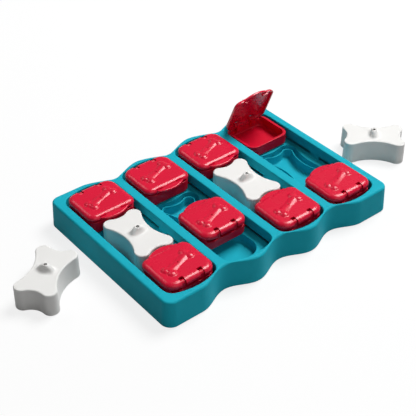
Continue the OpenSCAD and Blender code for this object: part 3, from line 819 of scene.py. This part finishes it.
def grip_loop(reach, half):
    """The grip's section at some height, one point for each point of the cap's outline."""
    points = []
    for x, y in cap_outline(2.1):
        t, p = math.atan2(y, x), OBLONG
        c, s = math.cos(t), math.sin(t)
        k = reach
        if half != reach:
            k = (abs(c) ** p / reach ** p + abs(s) ** p / half ** p) ** (-1 / p)
        points.append((c * k, s * k))
    return points


def make_cap(seat_z):
    bm = bmesh.new()
    ceiling = start_loop(bm, cap_outline(3.0), seat_z + 25.5)
    skirt = [(cap_outline(2.3), 25.2), (cap_outline(2.08), 24.4), (cap_outline(1.6), 0.4),
             (cap_outline(1.45), 0.1), (cap_outline(1.2), 0.0), (cap_outline(0.4), 0.0),
             (cap_outline(0.12), 0.12), (cap_outline(0.0), 0.4), (cap_outline(0.17), 9.0),
             (cap_outline(0.34), 17.5)]
    skirt += [(cap_outline(0.5 + i), 25.9 + u) for i, u in round_over(1.6)]
    grip = [(13.2, 9.0, 0.0), (12.0, 7.6, 0.15), (11.0, 6.5, 0.5), (10.1, 5.6, 1.05),
            (9.4, 4.9, 1.75), (8.7, 4.4, 2.6), (7.9, 4.0, 3.5), (7.0, 3.7, 4.4), (6.1, 3.45, 5.3),
            (5.1, 3.2, 6.1), (4.2, 2.95, 6.75), (3.4, 2.7, 7.25), (2.7, 2.45, 7.58),
            (2.2, 2.2, 7.68), (1.95, 1.95, 7.55), (1.9, 1.9, 7.2), (1.88, 1.88, 6.6),
            (2.1, 1.9, 6.1), (3.6, 1.95, 4.6), (5.2, 2.05, 2.6), (6.6, 2.15, 0.4),
            (7.4, 2.3, -1.2), (8.2, 2.6, -2.0)]
    edge, foot = cap_outline(3.2), grip_loop(*grip[0][:2])
    skirt += [(edge, CAP_TOP)]
    for t in (0.35, 0.7):
        between = [(a[0] + (b[0] - a[0]) * t, a[1] + (b[1] - a[1]) * t)
                   for a, b in zip(edge, foot)]
        skirt.append((between, CAP_TOP))
    skirt += [(grip_loop(a, b), CAP_TOP + z) for a, b, z in grip]
    hollow = grow_all(bm, ceiling, [(points, seat_z + z) for points, z in skirt])
    fill(bm, ceiling, hollow)
    return bm


def laid(x, y, turn=0.0):
    return Matrix.Translation((x, y, 0)) @ Matrix.Rotation(math.radians(turn), 4, "Z")


CAPS = [("seated_1", laid(CHANNELS[0], 0), SEATED_Z), ("seated_3", laid(CHANNELS[2], 0), SEATED_Z),
        ("loose_left", laid(-223, 18, -54), 0.0), ("loose_right", laid(232, -21, 48.5), 0.0)]
for name, move, seat_z in CAPS:
    piece = as_piece(make_cap(seat_z), f"bone_cap_{name}", move, edge=0)
    hand_over(piece, f"bone_{name}", f"bone_{name}", bone_white)

# %% [markdown]
# The floor is white to the camera and keeps a faint shadow, but it throws little light back at
# the object, so the sides stay as deep as they should. A share of plain emission does the first,
# and a grey diffuse for all other rays does the second. Under the tray there is no emission, so
# that no false light shows through the tray's slots.

# %% The floor
FLOOR_GREY, GLOW = 0.40, 0.80         # what other rays meet, and the share of plain emission
SHADE_X, SHADE_Y, SHADE_EDGE = 0.150, 0.092, 0.012   # the dark area under the tray, in metres

ground = bmesh.new()
bmesh.ops.create_grid(ground, x_segments=8, y_segments=8, size=3000.0)
bmesh.ops.translate(ground, vec=(0, 0, -0.2), verts=ground.verts)
floor = as_piece(ground, "floor", edge=0, turned=False)
f = Finish("white_floor")
path = f.node("ShaderNodeLightPath")
camera_ray, glossy_ray, clear_ray = (
    Field(f, path.socket.node.outputs[n])
    for n in ("Is Camera Ray", "Is Glossy Ray", "Is Transmission Ray"))
seen = f.node("ShaderNodeMath", {"operation": "MAXIMUM"},
              {0: camera_ray, 1: glossy_ray * 0.5 + clear_ray})
grey_or_white = f.mix(seen, (FLOOR_GREY, FLOOR_GREY, FLOOR_GREY, 1), (1.0, 1.0, 1.0, 1))
catch = f.node("ShaderNodeBsdfDiffuse", None, {"Color": grey_or_white})
glow = f.node("ShaderNodeEmission", None, {"Color": (1, 1, 1, 1), "Strength": 1.0})
spot = f.node("ShaderNodeTexCoord", output=3)
apart = f.node("ShaderNodeSeparateXYZ", None, {0: spot})
under = 1.0
for axis, reach in (("X", SHADE_X), ("Y", SHADE_Y)):
    side = Field(f, apart.socket.node.outputs[axis])
    off = f.node("ShaderNodeMath", {"operation": "ABSOLUTE"}, {0: side})
    under = under * f.node("ShaderNodeMapRange", {"interpolation_type": "SMOOTHSTEP"},
                           {"Value": off, "From Min": reach, "From Max": reach - SHADE_EDGE})
floor.data.materials.append(f.surface(f.node(
    "ShaderNodeMixShader", None, {0: seen * GLOW * (1 - under), 1: catch, 2: glow})))
print("Floor:", floor.name)

# %% [markdown]
# Three round softboxes light the tray. The main one is large and hangs high on the right, where
# it gives the lids their sheen. A small weak one behind draws the line along the lids' far left
# edges, and a broad weak one in front lifts the near side. The world is a weak fill, a little
# paler where it is mirrored in a gloss, and plain white to camera and transmission rays.

# %% Lamps and world
FILL, GLOSS_FILL = 0.064, 0.224       # the world's strength for plain and for glossy rays


def round_lamp(name, turn, height, away, across, watts):
    """A disk lamp aimed at the tray, placed by its compass turn and its height angle."""
    data = bpy.data.lights.new(name, "AREA")
    data.shape, data.size, data.energy = "DISK", across, watts
    lamp = bpy.data.objects.new(name, data)
    bpy.context.scene.collection.objects.link(lamp)
    t, h = math.radians(turn), math.radians(height)
    towards = Vector((math.cos(h) * math.cos(t), math.cos(h) * math.sin(t), math.sin(h)))
    lamp.location = away * towards
    lamp.rotation_euler = lamp.location.to_track_quat("Z", "Y").to_euler()
    return lamp


round_lamp("high_softbox", 4.0, 58.0, 3.2, 1.7, 100.0)
round_lamp("back_softbox", 100.0, 50.0, 3.2, 1.2, 9.0)
round_lamp("front_fill", -95.0, 42.0, 3.2, 3.2, 16.0)
world = bpy.data.worlds.new("pale_room")
bpy.context.scene.world = world
world.use_nodes = True
tree = world.node_tree
tree.nodes.clear()
path = tree.nodes.new("ShaderNodeLightPath")
level = tree.nodes.new("ShaderNodeMapRange")
room_light = tree.nodes.new("ShaderNodeMapRange")
room_light.inputs["To Min"].default_value = FILL
room_light.inputs["To Max"].default_value = GLOSS_FILL
tree.links.new(path.outputs["Is Glossy Ray"], room_light.inputs["Value"])
tree.links.new(room_light.outputs["Result"], level.inputs["To Min"])
level.inputs["To Max"].default_value = 1.0
back = tree.nodes.new("ShaderNodeBackground")
back.inputs["Color"].default_value = (1.0, 1.0, 1.0, 1.0)
out = tree.nodes.new("ShaderNodeOutputWorld")
plain = tree.nodes.new("ShaderNodeMath")
plain.operation = "MAXIMUM"
tree.links.new(path.outputs["Is Camera Ray"], plain.inputs[0])
tree.links.new(path.outputs["Is Transmission Ray"], plain.inputs[1])
tree.links.new(plain.outputs[0], level.inputs["Value"])
tree.links.new(level.outputs["Result"], back.inputs["Strength"])
tree.links.new(back.outputs["Background"], out.inputs["Surface"])

# %% [markdown]
# The camera looks down from the front left, with a long lens, so the channels stay nearly
# parallel. Its place and turn are plain numbers in the frame of the CAD model.

# %% Camera and picture
data = bpy.data.cameras.new("camera")
data.lens, data.sensor_width, data.sensor_fit = 84.76, 36.0, "HORIZONTAL"
data.clip_end = 20.0
camera = bpy.data.objects.new("camera", data)
bpy.context.scene.collection.objects.link(camera)
camera.location = (-0.57664, -0.68566, 0.71281)
camera.rotation_euler = [math.radians(a) for a in (51.92609, -0.13843, -39.03391)]
bpy.context.scene.camera = camera
bpy.context.scene.view_settings.view_transform = "Standard"
print("Camera at", [round(c, 3) for c in camera.location])
